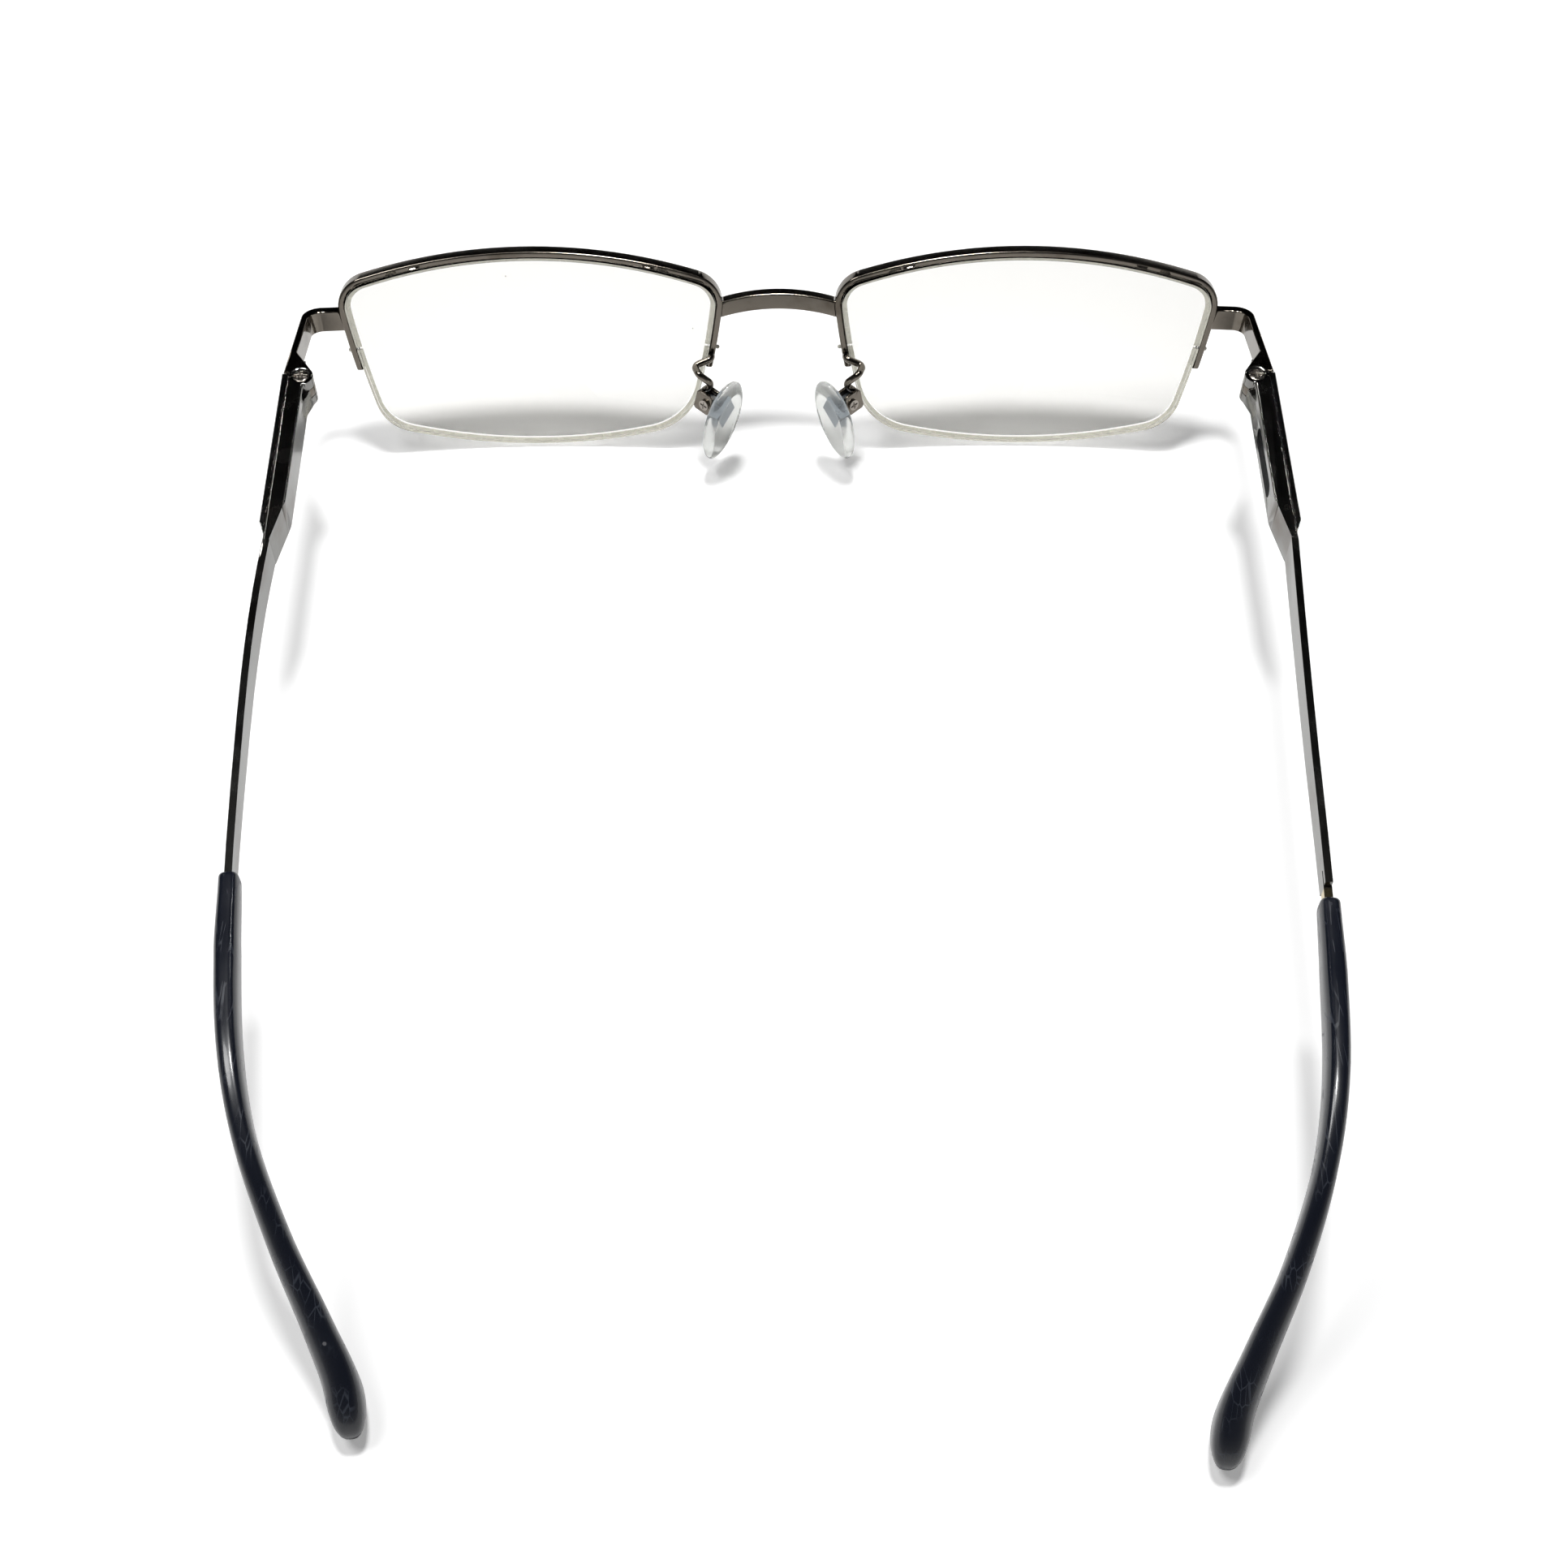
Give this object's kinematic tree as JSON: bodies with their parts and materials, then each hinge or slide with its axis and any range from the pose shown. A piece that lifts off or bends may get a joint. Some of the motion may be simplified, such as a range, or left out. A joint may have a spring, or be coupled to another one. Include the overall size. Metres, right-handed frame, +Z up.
{
  "type": "pair of eyeglasses",
  "caption": "Half-rim eyeglasses: metal rims over plastic lenses held by a nylon cord, folding temples on screwed hinges, swivelling nose pads.",
  "frame": {"origin": "middle of the whole outline seen from above, on the surface that the lens bottoms and the temple ends stand on", "axes": "+X to the wearer's right, +Y the way the wearer looks, +Z up, with the temples open"},
  "size_m": [0.1324, 0.1624, 0.0286],
  "materials": {
    "gunmetal": "dark gunmetal plating, polished outside and satin inside",
    "screw_steel": "dark steel, cross recess",
    "insert_steel": "satin steel plate seen through the pad",
    "lens_glass": "clear optical plastic with a coated surface",
    "clear_nylon": "clear cream nylon",
    "silicone": "pale translucent silicone, soft and smooth",
    "sleeve_plastic": "near-black cellulose acetate, polished, with fine scratches",
    "black_enamel": "plain black enamel"
  },
  "bodies": {
    "front": {"bridge": "gunmetal", "left_lens": "lens_glass", "left_rim": "gunmetal", "left_rim_liner": "clear_nylon", "left_nylon_cord": "clear_nylon", "left_end_piece": "gunmetal", "left_front_hinge": "gunmetal", "left_pad_arm": "gunmetal", "left_pad_box": "gunmetal", "left_pad_screw": "screw_steel", "right_lens": "lens_glass", "right_rim": "gunmetal", "right_rim_liner": "clear_nylon", "right_nylon_cord": "clear_nylon", "right_end_piece": "gunmetal", "right_front_hinge": "gunmetal", "right_pad_arm": "gunmetal", "right_pad_box": "gunmetal", "right_pad_screw": "screw_steel"},
    "left_arm": {"left_temple": "gunmetal", "left_temple_hinge": "gunmetal", "left_temple_plate": "gunmetal", "left_temple_tip": "sleeve_plastic", "left_hinge_screw": "screw_steel"},
    "right_arm": {"right_temple": "gunmetal", "right_temple_hinge": "gunmetal", "right_temple_plate": "gunmetal", "right_temple_tip": "sleeve_plastic", "right_hinge_screw": "screw_steel", "right_temple_inlay": "black_enamel"},
    "left_pad": {"left_nose_pad": "silicone", "left_pad_insert": "insert_steel"},
    "right_pad": {"right_nose_pad": "silicone", "right_pad_insert": "insert_steel"}
  },
  "joints": [
    {"name": "left_temple_fold", "type": "hinge", "parent": "front", "child": "left_arm", "pos_m": [-0.0636, 0.05747, 0.02456], "axis": [0, 0, 1], "range_deg": [0, 90]},
    {"name": "right_temple_fold", "type": "hinge", "parent": "front", "child": "right_arm", "pos_m": [0.0636, 0.05747, 0.02456], "axis": [0, 0, -1], "range_deg": [0, 83]},
    {"name": "left_pad_swivel", "type": "hinge", "parent": "front", "child": "left_pad", "pos_m": [-0.00975, 0.06788, 0.01096], "axis": [-0.6121, -0.7586, 0.2233], "range_deg": [-10, 10]},
    {"name": "right_pad_swivel", "type": "hinge", "parent": "front", "child": "right_pad", "pos_m": [0.00975, 0.06788, 0.01096], "axis": [0.6121, -0.7586, 0.2233], "range_deg": [-10, 10]}
  ]
}
